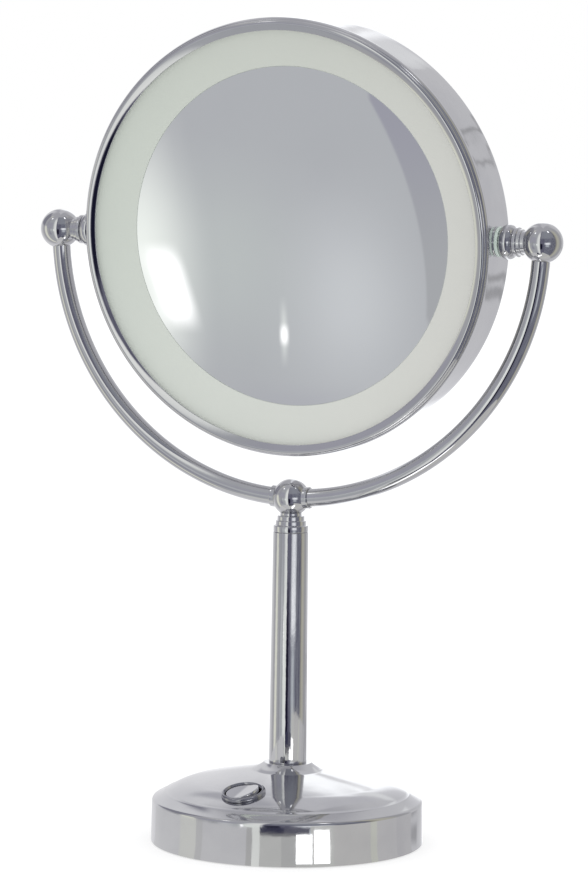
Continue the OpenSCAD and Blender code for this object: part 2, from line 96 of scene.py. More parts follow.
BASE_R = round(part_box("base_shell")[1].x / MM, 1)
SKIRT_Z = round(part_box("base_shell")[0].z / MM, 1)
POST_Z = round(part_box("post_tube")[0].z / MM, 1)
POST_TOP = round(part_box("post_tube")[1].z / MM, 1)
WALL_H = POST_Z - 19.7
WALL_TAPER = 0.4
SHOULDER_R = 1.9
BAND_R = BASE_R - 6
BAND_Z = WALL_H + 4
EDGE_R = BASE_R - 8
EDGE_Z = WALL_H + 5.1
EDGE_CROWN = 0.55
DOME_R = BASE_R - 20.5
DOME_Z = WALL_H + 10.3
DOME_CROWN = 0.25
NECK_R = 18
NECK_Z = WALL_H + 16.3
NECK_TOP_R = 11.8
DOME_SLOPE = math.atan2(NECK_Z - DOME_Z, DOME_R - NECK_R)
PLATE_BOSS_RING_R = 54
PLATE_BOSS_ANGLES = (90, -35, -145)
PLATE_BOSS_R = 4
PLATE_SCREW_R = 2
WEIGHT_TOP = round(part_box("base_weight")[1].z / MM, 1)

POST_FOOT_R = round(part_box("post_tube")[1].x / MM, 1)
POST_TOP_R = POST_FOOT_R - 0.7
COLLAR_STEPS = ((8.6, 3.3), (7.5, 5.7), (6.7, 8.1))
COLLAR_NECK_R = 5.3
ROD_R = 4.0

YOKE_R = 130.0
ARM_R = 4.5
ARM_WALL = 1.0
CENTER_Z = PIVOT_Z - YOKE_R
CENTER_BALL_R = 9.3
SIDE_BALL_R = 9.9
SIDE_BALL_U = YOKE_R + 0.5
FERRULE_R = 5.4

DRUM_R = round(node_size("drum_shell").x / 2, 1)
HEAD_LEAN = math.radians(5)
DRUM_REAR = 17.5
EDGE_H = 13.5
REAR_BEND_R = 3.5
REAR_LIP_R = DRUM_R - 8
MIRROR_R = DRUM_R - 23.5
MIRROR_EDGE_H = 6.2
FOCUS_R = 625
GLASS_T = 3

BOSS_END = DRUM_R + 0.4
BOSS_R = 7.6
BUSH_R = 5.2
BUSH_FLANGE_R = 7.3
BUSH_START = DRUM_R - 2.3
BUSH_END = BOSS_END + 1.6
BEAD_START = BUSH_END + 0.15
BEAD_END = BEAD_START + 7
BEAD_R = 8.6
BEAD_END_R = 6.2
SHAFT_R = 4.0
SHAFT_END = YOKE_R - ARM_R - 0.2
PIVOT_STEPS = ((7.2, 2.0), (6.3, 3.9))
PIVOT_NECK_R = 5.6

SWITCH_RING_R = 45.5
SWITCH_TURN = math.radians(-4)
SWITCH_SLOPE = DOME_SLOPE + math.radians(3)
SWITCH_SEAT_Z = DOME_Z + (DOME_R - SWITCH_RING_R) * math.tan(DOME_SLOPE)
FLANGE_R = 11
FLANGE_H = 1.8
FLANGE_SINK = 0.45
CAN_R = 9.9
CAN_BORE_R = 8.9
CAN_DEPTH = 12.0
ROCKER_R = 8.3
ROCKER_PIN_Z = -1.5
ROCKER_PIN_R = 1.2
ROCKER_ANGLE = math.radians(8)
ROCKER_CROWN = 1.2
ROCKER_BOTTOM = -5.0

FINE, MEDIUM, SMALL = 320, 192, 128  # steps round a turned piece, by its size
SHARP_ANGLE = math.radians(32)
ROUND_ANGLE = math.radians(20)  # corners that turn by more than this are rounded

# ---------------------------------------------------------------- outlines, as (radius, height)


def arc(centre, radius, start, end, steps=10):
    """Points of an arc between two angles in degrees."""
    angles = [math.radians(start + (end - start) * i / steps) for i in range(steps + 1)]
    return [(centre[0] + radius * math.cos(a), centre[1] + radius * math.sin(a)) for a in angles]


def bow(a, b, sag, steps=12):
    """Points of an arc from a to b that bulges by sag to the left of its way, or to the right below zero."""
    a, b = Vector(a), Vector(b)
    half = (b - a).length / 2
    radius = (half * half + sag * sag) / (2 * sag)
    along = (b - a).normalized()
    left = Vector((-along.y, along.x))
    centre = (a + b) / 2 - left * (radius - sag)
    spread = math.asin(half / radius)
    turns = [spread * (2 * i / steps - 1) for i in range(steps + 1)]
    return [tuple(centre + radius * (left * math.cos(t) + along * math.sin(t))) for t in turns]


def rounded(points, radius, steps=4):
    """A closed outline with every clear corner off the axis rounded."""
    made = []
    for i, point in enumerate(points):
        p, before, after = Vector(point), Vector(points[i - 1]), Vector(points[(i + 1) % len(points)])
        come, go = p - before, after - p
        if p.x < 1e-6 or min(come.length, go.length) < 1e-6 or come.angle(go) < ROUND_ANGLE:
            made.append(tuple(p))
            continue
        reach = min(radius * math.tan(come.angle(go) / 2), 0.45 * come.length, 0.45 * go.length)
        start, end = p - come.normalized() * reach, p + go.normalized() * reach
        for k in range(steps + 1):
            t = k / steps
            made.append(tuple(start * (1 - t) ** 2 + p * (2 * t * (1 - t)) + end * t * t))
    return made


def base_outline(inset=0.0):
    """The cover's outline from the floor to the post, this far inside its outer surface."""
    return (
        [(BASE_R - inset, SKIRT_Z)]
        + arc((BASE_R - WALL_TAPER - SHOULDER_R, WALL_H), SHOULDER_R - inset, 0, 65)
        + [(BAND_R, BAND_Z - inset), (BAND_R - 0.8, BAND_Z + 0.7 - inset)]
        + bow((EDGE_R, EDGE_Z - inset), (DOME_R, DOME_Z - inset), -EDGE_CROWN, 16)
        + bow((DOME_R - 0.8, DOME_Z + 0.17 - inset), (NECK_R, NECK_Z - inset), -DOME_CROWN, 20)
        + bow((NECK_R - 0.4, NECK_Z + 0.2 - inset), (NECK_TOP_R, POST_Z - inset), 0.3, 10)
    )


def cover_height(at):
    """Height of the cover's outer surface at a radius inside its band."""
    outline = base_outline()
    for (r, z), (r_next, z_next) in zip(outline, outline[1:]):
        if r_next <= at < r:
            return z + (z_next - z) * (r - at) / (r - r_next)


def dish(radius, at):
    """Forward height of a spherical face that is centred in front of the head."""
    return MIRROR_EDGE_H + math.sqrt(FOCUS_R**2 - MIRROR_R**2) - math.sqrt(radius**2 - at**2)


# ---------------------------------------------------------------- frames

HEAD_FRAME = Matrix.Translation((0, 0, PIVOT_Z)) @ Matrix.Rotation(math.pi / 2 + HEAD_LEAN, 4, "X")
SWITCH_FRAME = (
    Matrix.Rotation(SWITCH_TURN, 4, "Z")
    @ Matrix.Translation((0, -SWITCH_RING_R, SWITCH_SEAT_Z))
    @ Matrix.Rotation(SWITCH_SLOPE, 4, "X")
)
PIN_FRAME = SWITCH_FRAME @ Matrix.Translation((0, 0, ROCKER_PIN_Z))
ROCKER_FRAME = PIN_FRAME @ Matrix.Rotation(-ROCKER_ANGLE, 4, "Y")


def pivot_frame(side):
    """Z runs outward along the tilt axis."""
    return Matrix.Translation((0, 0, PIVOT_Z)) @ Matrix.Rotation(side * math.pi / 2, 4, "Y")


def on_yoke(side, angle):
    """Frame on the yoke's middle line at an angle in degrees up from its lowest point, Z along the tube."""
    a = math.radians(angle)
    place = Matrix.Translation((side * YOKE_R * math.sin(a), 0, PIVOT_Z - YOKE_R * math.cos(a)))
    return place @ Matrix.Rotation(side * (math.pi / 2 - a), 4, "Y")


# ---------------------------------------------------------------- meshes


def turn(bm, outline, steps):
    """Adds the solid swept by a closed outline turned about Z."""
    rings = []
    for r, z in outline:
        if r < 1e-6:
            rings.append([bm.verts.new((0, 0, z))] * steps)
        else:
            angles = [2 * math.pi * k / steps for k in range(steps)]
            rings.append([bm.verts.new((r * math.cos(a), r * math.sin(a), z)) for a in angles])
    for i, ring in enumerate(rings):
        after = rings[(i + 1) % len(rings)]
        for k in range(steps):
            j = (k + 1) % steps
            corners = list(dict.fromkeys((ring[k], ring[j], after[j], after[k])))
            if len(corners) > 2:
                bm.faces.new(corners)


def lathe(outline, steps):
    bm = bmesh.new()
    turn(bm, outline, steps)
    return bm


def rod(radius, start, end, steps=64):
    return lathe([(0, start), (radius, start), (radius, end), (0, end)], steps)


def arm_tube(side, start, end, outer, inner, sides=40, steps=120):
    """Stretch of the yoke's tube between two angles, hollow where inner isn't zero."""
    bm = bmesh.new()
    walls = []
    for radius in (outer, inner) if inner else (outer,):
        rings = []
        for i in range(steps + 1):
            place = on_yoke(side, start + (end - start) * i / steps)
            turns = [2 * math.pi * k / sides for k in range(sides)]
            around = [Vector((radius * math.cos(t), radius * math.sin(t), 0)) for t in turns]
            rings.append([bm.verts.new(place @ v) for v in around])
        for a, b in zip(rings, rings[1:]):
            for k in range(sides):
                bm.faces.new((a[k], a[(k + 1) % sides], b[(k + 1) % sides], b[k]))
        walls.append(rings)
    for tip in (0, -1):
        if inner:
            out, into = walls[0][tip], walls[1][tip]
            for k in range(sides):
                j = (k + 1) % sides
                bm.faces.new((out[k], out[j], into[j], into[k]))
        else:
            bm.faces.new(walls[0][tip])
    return bm


def to_mesh(bm, name, place=None):
    """A mesh in metres from a bmesh in millimetres."""
    if place is not None:
        bm.transform(place)
    bm.transform(Matrix.Scale(MM, 4))
    bmesh.ops.recalc_face_normals(bm, faces=bm.faces)
    mesh = bpy.data.meshes.new(name)
    bm.to_mesh(mesh)
    bm.free()
    return mesh


def carved(mesh, cutters):
    """The mesh with solids taken out of it."""
    target = bpy.data.objects.new("target", mesh)
    bpy.context.scene.collection.objects.link(target)
    tools = []
    for cutter in cutters:
        tool = bpy.data.objects.new("tool", cutter)
        bpy.context.scene.collection.objects.link(tool)
        cut = target.modifiers.new("cut", "BOOLEAN")
        cut.operation, cut.solver, cut.object = "DIFFERENCE", "EXACT", tool
        tools.append(tool)
    bpy.context.view_layer.update()
    made = bpy.data.meshes.new_from_object(target.evaluated_get(bpy.context.evaluated_depsgraph_get()))
    for o in [target, *tools]:
        bpy.data.objects.remove(o)
    return made


def shade(mesh):
    """Smooth faces with a hard line only where the surface really turns."""
    bm = bmesh.new()
    bm.from_mesh(mesh)
    bmesh.ops.dissolve_degenerate(bm, dist=1e-7, edges=bm.edges)
    for face in bm.faces:
        face.smooth = True
    for edge in bm.edges:
        edge.smooth = len(edge.link_faces) == 2 and edge.calc_face_angle() < SHARP_ANGLE
    bm.to_mesh(mesh)
    bm.free()


def piece(name, mesh, body, materials, nodes):
    """Makes the object, shades it and declares what it rides on, what it replaces and its finish."""
    shade(mesh)
    mesh.materials.clear()
    for m in materials if isinstance(materials, (list, tuple)) else [materials]:
        mesh.materials.append(m)
    o = bpy.data.objects.new(name, mesh)
    bpy.context.scene.collection.objects.link(o)
    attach(o, body)
    if nodes:
        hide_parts(*([nodes] if isinstance(nodes, str) else nodes))
    return o


# ---------------------------------------------------------------- materials


class Graph:
    """Short names for the nodes that a material or the world is made of."""

    def __init__(self, tree):
        self.tree = tree
        tree.nodes.clear()

    def add(self, kind, **settings):
        node = self.tree.nodes.new(kind)
        for key, value in settings.items():
            setattr(node, key, value)
        return node

    def put(self, value, socket):
        if isinstance(value, bpy.types.NodeSocket):
            self.tree.links.new(value, socket)
        elif isinstance(value, tuple) and len(socket.default_value) > len(value):
            socket.default_value = (*value, 1.0)
        else:
            socket.default_value = value

    def math(self, operation, a, b=0.0, clamp=False):
        node = self.add("ShaderNodeMath", operation=operation, use_clamp=clamp)
        self.put(a, node.inputs[0])
        if operation not in ("ABSOLUTE", "ARCSINE", "SINE", "SQRT"):
            self.put(b, node.inputs[1])
        return node.outputs[0]

    def step(self, x, low, high, kind="SMOOTHSTEP", out=(0.0, 1.0)):
        """x from low to high, mapped smoothly to out."""
        node = self.add("ShaderNodeMapRange", interpolation_type=kind, clamp=True)
        for socket, value in zip(node.inputs, (x, low, high, *out)):
            self.put(value, socket)
        return node.outputs[0]

    def window(self, x, low, high, soft):
        """One between low and high, zero outside, with soft edges."""
        rise = self.step(x, low - soft, low + soft)
        fall = self.step(x, high - soft, high + soft, out=(1.0, 0.0))
        return self.math("MULTIPLY", rise, fall)

    def mix(self, factor, a, b):
        node = self.add("ShaderNodeMix", data_type="RGBA", clamp_factor=True)
        self.put(factor, node.inputs["Factor"])
        self.put(a, node.inputs[6])
        self.put(b, node.inputs[7])
        return node.outputs[2]

    def noise(self, scale, detail=3.0, stretch=None, coords="Object", distortion=0.0):
        """Noise over the piece, with its features drawn out along an axis by stretch."""
        where = self.add("ShaderNodeTexCoord").outputs[coords]
        if stretch:
            mapping = self.add("ShaderNodeMapping")
            self.put(where, mapping.inputs["Vector"])
            mapping.inputs["Scale"].default_value = stretch
            where = mapping.outputs[0]
        node = self.add("ShaderNodeTexNoise")
        self.put(where, node.inputs["Vector"])
        node.inputs["Scale"].default_value = scale
        node.inputs["Detail"].default_value = detail
        node.inputs["Distortion"].default_value = distortion
        return node.outputs["Fac"]

    def bump(self, height, distance, below=None):
        node = self.add("ShaderNodeBump")
        node.inputs["Strength"].default_value = 1.0
        node.inputs["Distance"].default_value = distance
        self.put(height, node.inputs["Height"])
        if below is not None:
            self.put(below, node.inputs["Normal"])
        return node.outputs[0]


def material(name, **fixed):
    """A principled material with fixed values on its own sockets; returns it with its graph and shader."""
    m = bpy.data.materials.new(name)
    m.use_nodes = True
    graph = Graph(m.node_tree)
    shader = graph.add("ShaderNodeBsdfPrincipled")
    out = graph.add("ShaderNodeOutputMaterial")
    graph.tree.links.new(shader.outputs[0], out.inputs[0])
    for key, value in fixed.items():
        graph.put(value, shader.inputs[key.replace("_", " ")])
    return m, graph, shader


def metal(name, bright, dull, rough, wave=0.00005, ripple=0.000004, stretch=None):
    """Polished or plated metal: clouding, polishing haze, and a slow wave and a fine ripple in its face."""
    m, g, shader = material(name, Metallic=1.0)
    cloud = g.step(g.noise(38, 4, stretch), 0.35, 0.7)
    g.put(g.mix(cloud, bright, dull), shader.inputs["Base Color"])
    haze = g.step(g.noise(95, 5, stretch), 0.3, 0.75, out=rough)
    g.put(haze, shader.inputs["Roughness"])
    slow = g.bump(g.noise(55, 2, stretch), wave)
    g.put(g.bump(g.noise(620, 2, stretch), ripple, below=slow), shader.inputs["Normal"])
    return m


def plastic(name, colour, shadow, rough, grain_scale, grain, **fixed):
    """Moulded plastic: a faint drift in its colour and an even grain in its face."""
    m, g, shader = material(name, **fixed)
    drift = g.step(g.noise(22, 3), 0.3, 0.7)
    g.put(g.mix(drift, colour, shadow), shader.inputs["Base Color"])
    g.put(g.step(g.noise(140, 4), 0.3, 0.7, out=rough), shader.inputs["Roughness"])
    g.put(g.bump(g.noise(grain_scale, 2), grain), shader.inputs["Normal"])
    return m


CHROME_BRIGHT, CHROME_DULL = (0.665, 0.665, 0.68), (0.62, 0.62, 0.64)
chrome = metal("polished_chrome", CHROME_BRIGHT, CHROME_DULL, (0.035, 0.085))
DRAWN = {"wave": 0.0002, "ripple": 0.000024, "stretch": (1, 1, 0.35)}
drawn_chrome = metal("drawn_chrome", CHROME_BRIGHT, CHROME_DULL, (0.04, 0.10), **DRAWN)
pressed_chrome = metal("pressed_chrome", CHROME_BRIGHT, CHROME_DULL, (0.05, 0.11), wave=0.00008)
EVEN = {"wave": 0.000006, "ripple": 0.000001}
smoked_chrome = metal("smoked_chrome", (0.40, 0.40, 0.43), (0.34, 0.34, 0.37), (0.12, 0.2), **EVEN)
zinc = metal("zinc_plate", (0.62, 0.63, 0.64), (0.50, 0.52, 0.55), (0.28, 0.45))
brass = metal("brass", (0.80, 0.62, 0.30), (0.68, 0.52, 0.25), (0.2, 0.38))
iron = metal("cast_iron", (0.16, 0.16, 0.17), (0.10, 0.10, 0.11), (0.55, 0.8), wave=0.0004, ripple=0.0002)
white_plastic = plastic("white_plastic", (0.80, 0.80, 0.78), (0.74, 0.74, 0.72), (0.35, 0.5), 700, 0.00001)
MILKY = {"Subsurface_Weight": 0.15, "Subsurface_Radius": (0.002, 0.002, 0.002)}
nylon = plastic("nylon", (0.80, 0.90, 0.84), (0.75, 0.86, 0.79), (0.3, 0.42), 800, 0.00001, **MILKY)
BLACK, WORN_BLACK = (0.022, 0.022, 0.024), (0.032, 0.032, 0.034)
black_plastic = plastic("black_plastic", BLACK, WORN_BLACK, (0.42, 0.58), 1300, 0.00006)
rubber = plastic("black_rubber", (0.018, 0.018, 0.018), (0.03, 0.03, 0.03), (0.75, 0.92), 2200, 0.00015)
cell_jacket = plastic("cell_jacket", (0.10, 0.12, 0.15), (0.07, 0.08, 0.10), (0.25, 0.35), 400, 0.00001)
red_wire = plastic("red_wire", (0.50, 0.03, 0.02), (0.42, 0.02, 0.02), (0.38, 0.5), 900, 0.00002)
black_wire = plastic("black_wire", (0.02, 0.02, 0.02), (0.03, 0.03, 0.03), (0.38, 0.5), 900, 0.00002)
board_white = plastic("board_white", (0.82, 0.83, 0.80), (0.76, 0.78, 0.74), (0.3, 0.42), 600, 0.00001)
phosphor = plastic("led_phosphor", (0.85, 0.74, 0.25), (0.78, 0.66, 0.2), (0.3, 0.4), 900, 0.00001)
glass_edge = plastic("glass_edge", (0.62, 0.66, 0.63), (0.56, 0.60, 0.58), (0.12, 0.25), 500, 0.00002)


def frosting_with_painted_light():
    """The light ring, with painted light in its colour: greener on its left, creamier on its right and a
    little brighter towards the bottom, where bounce light from the floor would fall.
    """
    m, g, shader = material("frosted_plastic", Specular_IOR_Level=0.35)
    place = g.add("ShaderNodeSeparateXYZ")
    g.put(g.add("ShaderNodeTexCoord").outputs["Generated"], place.inputs[0])
    across, _, up = place.outputs
    # Painted light: the lower colours are brighter to stand in for floor bounce, and the left-to-right tint
    # stands in for how the light falls on the ring.
    bottom = g.mix(across, (0.655, 0.70, 0.645), (0.67, 0.665, 0.635))
    top = g.mix(across, (0.545, 0.59, 0.53), (0.58, 0.585, 0.55))
    drift = g.step(g.noise(22, 3), 0.3, 0.7)
    faint = g.math("MULTIPLY", drift, 0.06)
    g.put(g.mix(faint, g.mix(up, bottom, top), (0.45, 0.5, 0.45)), shader.inputs["Base Color"])
    g.put(g.step(g.noise(140, 4), 0.3, 0.7, out=(0.42, 0.5)), shader.inputs["Roughness"])
    g.put(g.bump(g.noise(900, 2), 0.00001), shader.inputs["Normal"])
    return m


frosted = frosting_with_painted_light()


def silvering():
    """The mirror face: almost even, with the faint dusty haze that a real one collects."""
    m, g, shader = material("silvered_glass", Metallic=1.0)
    dust = g.step(g.noise(26, 5), 0.45, 0.8)
    g.put(g.mix(dust, (0.865, 0.87, 0.875), (0.85, 0.855, 0.862)), shader.inputs["Base Color"])
    g.put(g.step(g.noise(60, 4), 0.4, 0.8, out=(0.008, 0.03)), shader.inputs["Roughness"])
    return m


mirror = silvering()

SLOT_MATERIALS = {
    "chrome": chrome,
    "zinc_steel": zinc,
    "cast_iron": iron,
    "black_plastic": black_plastic,
    "black_rubber": rubber,
    "cell_jacket": cell_jacket,
    "brass": brass,
    "smoked_chrome": smoked_chrome,
    "red_wire": red_wire,
    "black_wire": black_wire,
    "frosted_plastic": frosted,
    "white_plastic": white_plastic,
    "nylon": nylon,
    "mirror": mirror,
    "board_white": board_white,
    "led_phosphor": phosphor,
}

# ---------------------------------------------------------------- base


def sheet_outline():
    """The pressed cover as a closed outline, its bore round the rod."""
    outer = base_outline()
    inner = base_outline(SHEET)
    bore = [(ROD_R + 0.05, POST_Z), (ROD_R + 0.05, POST_Z - SHEET)]
    return rounded(outer + bore + inner[::-1], 0.45)


def base_cover():
    mesh = to_mesh(lathe(sheet_outline(), FINE), "base_cover")
    hole = to_mesh(rod(CAN_R + 0.1, -CAN_DEPTH, CAN_DEPTH, SMALL), "hole", SWITCH_FRAME)
    return piece("base_cover", carved(mesh, [hole]), "stand", pressed_chrome, "base_shell")


def cover_bosses():
    """The three screw bosses under the dome, their tops lying in its sheet."""
    bm = bmesh.new()
    for angle in PLATE_BOSS_ANGLES:
        tube = bmesh.new()
        turn(tube, [(PLATE_SCREW_R, 0), (PLATE_BOSS_R, 0), (PLATE_BOSS_R, 1), (PLATE_SCREW_R, 1)], 48)
        turned = Matrix.Rotation(math.radians(angle), 3, "Z")
        for v in tube.verts:
            x, y = v.co.x + PLATE_BOSS_RING_R, v.co.y
            lid = cover_height(math.hypot(x, y)) - SHEET / 2
            v.co = turned @ Vector((x, y, lid if v.co.z > 0.5 else WEIGHT_TOP))
        part = bpy.data.meshes.new("boss")
        tube.to_mesh(part)
        tube.free()
        bm.from_mesh(part)
    return piece("cover_bosses", to_mesh(bm, "cover_bosses"), "stand", zinc, None)


def switch_ring():
    """Round switch body with its thick, rounded rim, open in the middle for the rocker."""
    outline = (
        [(0, -CAN_DEPTH), (CAN_R, -CAN_DEPTH), (CAN_R, -FLANGE_SINK), (FLANGE_R - 0.2, -FLANGE_SINK)]
        + arc((FLANGE_R - 1.3, FLANGE_H - 1.3), 1.3, -20, 90, 12)
        + [(CAN_BORE_R + 0.7, FLANGE_H), (CAN_BORE_R, FLANGE_H - 0.8)]
        + [(CAN_BORE_R, 1.5 - CAN_DEPTH), (0, 1.5 - CAN_DEPTH)]
    )
    mesh = to_mesh(lathe(rounded(outline, 0.4), SMALL), "switch_ring", SWITCH_FRAME)
    pin_line = PIN_FRAME @ Matrix.Rotation(math.pi / 2, 4, "X")
    pins = to_mesh(rod(ROCKER_PIN_R + 0.05, 0.1 - CAN_R, CAN_R - 0.1, 48), "pins", pin_line)
    mesh = carved(mesh, [pins])
    return piece("switch_ring", mesh, "stand", smoked_chrome, "switch_housing")


def rocker():
    """Round rocker: two faces that rise from a soft valley to the ends, a rounded rim and two pivot pins."""
    bm = bmesh.new()
    valley, rim, steps = 2.0, 0.55, SMALL
    rise = ROCKER_CROWN - ROCKER_PIN_Z
    rings = [(ROCKER_R * i / 16, 0.0) for i in range(1, 15)]
    for i in range(7):
        t = math.radians(90 * i / 6)
        rings.append((ROCKER_R - rim * (1 - math.sin(t)), rim * (1 - math.cos(t))))
    grid = []
    for r, drop in rings:
        ring = []
        for k in range(steps):
            x, y = r * math.cos(2 * math.pi * k / steps), r * math.sin(2 * math.pi * k / steps)
            slope = (math.hypot(x, valley) - valley) * math.tan(ROCKER_ANGLE)
            ring.append(bm.verts.new((x, y, rise + slope - drop)))
        grid.append(ring)
    floor_z = ROCKER_BOTTOM - ROCKER_PIN_Z
    for inset, z in ((0, floor_z + 0.4), (0.4, floor_z)):
        r = ROCKER_R - inset
        angles = [2 * math.pi * k / steps for k in range(steps)]
        grid.append([bm.verts.new((r * math.cos(a), r * math.sin(a), z)) for a in angles])
    for a, b in zip(grid, grid[1:]):
        for k in range(steps):
            bm.faces.new((a[k], a[(k + 1) % steps], b[(k + 1) % steps], b[k]))
    top, bottom = bm.verts.new((0, 0, rise)), bm.verts.new((0, 0, floor_z))
    for k in range(steps):
        bm.faces.new((top, grid[0][k], grid[0][(k + 1) % steps]))
        bm.faces.new((bottom, grid[-1][(k + 1) % steps], grid[-1][k]))
    for side in (-1, 1):
        pin = rod(ROCKER_PIN_R, ROCKER_R - 1.2, CAN_R - 0.2, 32)
        pin.transform(Matrix.Rotation(side * math.pi / 2, 4, "X"))
        part = bpy.data.meshes.new("pin")
        pin.to_mesh(part)
        pin.free()
        bm.from_mesh(part)
    mesh = to_mesh(bm, "rocker_cap", ROCKER_FRAME)
    return piece("rocker_cap", mesh, "rocker", chrome, "rocker_button")


# ---------------------------------------------------------------- post and yoke


def stepped(bore, steps, neck_r, end):
    """Outline of a collar whose steps get smaller, with a neck on top of them."""
    points = [(bore, 0), (steps[0][0], 0)]
    for (r, top), after in zip(steps, [*steps[1:], (neck_r, end)]):
        points += [(r, top), (after[0], top)]
    return rounded([*points, (neck_r, end), (bore, end)], 0.5)


def ball_outline(radius, bore, bore_end):
    """A ball bored from below along the axis; the opening's edge is broken a little."""
    start = -math.degrees(math.acos(bore / radius))
    skin = arc((0, 0), radius, start, 90, 72)[:-1]
    return rounded([*skin, (0, radius), (0, bore_end), (bore, bore_end)], 0.25)


def post():
    foot = [(POST_FOOT_R - SHEET, POST_Z), (POST_FOOT_R, POST_Z)]
    top = [(POST_TOP_R, POST_TOP), (POST_TOP_R - SHEET, POST_TOP)]
    bm = lathe(rounded(foot + top, 0.3), MEDIUM)
    piece("post_sleeve", to_mesh(bm, "post_sleeve"), "stand", drawn_chrome, "post_tube")
    neck_end = CENTER_Z - math.sqrt(CENTER_BALL_R**2 - COLLAR_NECK_R**2) + 0.3 - POST_TOP
    bm = lathe(stepped(ROD_R, COLLAR_STEPS, COLLAR_NECK_R, neck_end), MEDIUM)
    place = Matrix.Translation((0, 0, POST_TOP))
    piece("post_cap", to_mesh(bm, "post_cap", place), "stand", chrome, "post_collar")


def yoke():
    ball = lathe(ball_outline(CENTER_BALL_R, ROD_R, -ARM_R), MEDIUM)
    mesh = to_mesh(ball, "yoke_ball", Matrix.Translation((0, 0, CENTER_Z)))
    sockets = [to_mesh(arm_tube(side, 0.05, 8, ARM_R, 0, steps=12), "socket") for side in (-1, 1)]
    piece("yoke_ball", carved(mesh, sockets), "stand", chrome, "center_ball")
    arm_from = math.degrees(math.asin(3 / YOKE_R))
    arm_to = 90 - math.degrees(math.asin(2.5 / YOKE_R))
    for name, side in SIDES.items():
        tube = arm_tube(side, arm_from, arm_to, ARM_R, ARM_R - ARM_WALL)
        piece(f"yoke_tube_{name}", to_mesh(tube, "tube"), "stand", chrome, f"yoke_arm_{name}")
        length = 1.7
        ring = [(ARM_R, -length), (FERRULE_R, -length), (FERRULE_R, length), (ARM_R, length)]
        mesh = to_mesh(lathe(rounded(ring, 0.6), SMALL), "ferrule", on_yoke(side, 3.75))
        piece(f"yoke_ferrule_{name}", mesh, "stand", chrome, f"arm_ferrule_{name}")


def end_ball(name, side):
    outline = ball_outline(SIDE_BALL_R, SHAFT_R, SHAFT_END - SIDE_BALL_U)
    place = pivot_frame(side) @ Matrix.Translation((0, 0, SIDE_BALL_U))
    mesh = to_mesh(lathe(outline, MEDIUM), "end_ball", place)
    socket = to_mesh(arm_tube(side, 82, 91, ARM_R, 0, steps=12), "socket")
    piece(f"end_ball_{name}", carved(mesh, [socket]), "stand", chrome, f"ball_{name}")


# ---------------------------------------------------------------- pivots


def pivot(name, side):
    place = pivot_frame(side)
    end_ball(name, side)
    neck_end = SIDE_BALL_U - math.sqrt(SIDE_BALL_R**2 - PIVOT_NECK_R**2) + 0.3 - BEAD_END
    bm = lathe(stepped(SHAFT_R, PIVOT_STEPS, PIVOT_NECK_R, neck_end), SMALL)
    mesh = to_mesh(bm, "spacer", place @ Matrix.Translation((0, 0, BEAD_END)))
    piece(f"pivot_spacer_{name}", mesh, "stand", chrome, f"pivot_collar_{name}")
    belly = bow((BEAD_END_R, BEAD_START), (BEAD_END_R, BEAD_END), BEAD_END_R - BEAD_R, 24)
    bm = lathe(rounded([(SHAFT_R, BEAD_START), *belly, (SHAFT_R, BEAD_END)], 0.4), SMALL)
    piece(f"pivot_disc_{name}", to_mesh(bm, "disc", place), "stand", chrome, f"pivot_bead_{name}")
    bore = SHAFT_R + 0.05
    outline = [(bore, BUSH_START), (BUSH_R, BUSH_START), (BUSH_R, BOSS_END), (BUSH_FLANGE_R, BOSS_END)]
    bm = lathe(rounded([*outline, (BUSH_FLANGE_R, BUSH_END), (bore, BUSH_END)], 0.3), SMALL)
    piece(f"pivot_ring_{name}", to_mesh(bm, "ring", place), "head", nylon, f"pivot_bush_{name}")
    drum_boss(name, side)


def drum_boss(name, side):
    """Round boss whose foot follows the drum and sinks a little way into its sheet."""
    foot = DRUM_R - 3
    outline = rounded([(BUSH_R, foot), (BOSS_R, foot), (BOSS_R, BOSS_END), (BUSH_R, BOSS_END)], 0.4)
    bm = lathe(outline, SMALL)
    bm.transform(pivot_frame(side))
    lean = HEAD_FRAME.inverted()
    for v in bm.verts:
        if abs(v.co.x) < foot + 1:
            local = lean @ v.co
            v.co.x = side * (math.sqrt(DRUM_R**2 - local.y**2) - 0.5)
    piece(f"drum_boss_{name}", to_mesh(bm, "boss"), "head", chrome, f"pivot_boss_{name}")


# ---------------------------------------------------------------- head


def in_head(name, outline, steps=FINE):
    return to_mesh(lathe(outline, steps), name, HEAD_FRAME)


def drum():
    wall_r = DRUM_R - SHEET
    corner = (DRUM_R - REAR_BEND_R, REAR_BEND_R - DRUM_REAR)
    outline = (
        [(REAR_LIP_R, -DRUM_REAR)]
        + arc(corner, REAR_BEND_R, -90, 0, 14)
        + [(DRUM_R, -9), (DRUM_R, 9), (DRUM_R, EDGE_H), (wall_r, EDGE_H), (wall_r, 9), (wall_r, -9)]
        + arc(corner, REAR_BEND_R - SHEET, 0, -90, 14)
        + [(REAR_LIP_R, SHEET - DRUM_REAR)]
    )
    holes = [to_mesh(rod(BUSH_R, DRUM_R - 6, DRUM_R + 4), "hole", pivot_frame(side)) for side in (-1, 1)]
    mesh = carved(in_head("drum", rounded(outline, 0.4)), holes)
    piece("drum", mesh, "head", pressed_chrome, "drum_shell")


def bezel():
    """Front rim: an outer bead, a crease, an inner bead and the slope down to the lip over the light ring."""
    skirt_r, lip_r, lip_h, lip_back = DRUM_R - 2.3, DRUM_R - 5.4, 16.6, 15.5
    wall_r = DRUM_R - SHEET
    outline = (
        [(skirt_r, 10.5), (wall_r, 10.5), (wall_r, EDGE_H), (DRUM_R, EDGE_H), (DRUM_R, 12)]
        + bow((DRUM_R + 0.4, 12), (DRUM_R - 0.2, 16.2), -0.7)
        + bow((DRUM_R - 0.4, 16.3), (DRUM_R - 2.5, 17.6), -0.5)
        + [(lip_r, lip_h), (lip_r, lip_back), (skirt_r, lip_back)]
    )
    piece("bezel", in_head("bezel", rounded(outline, 0.3)), "head", chrome, "front_bezel")


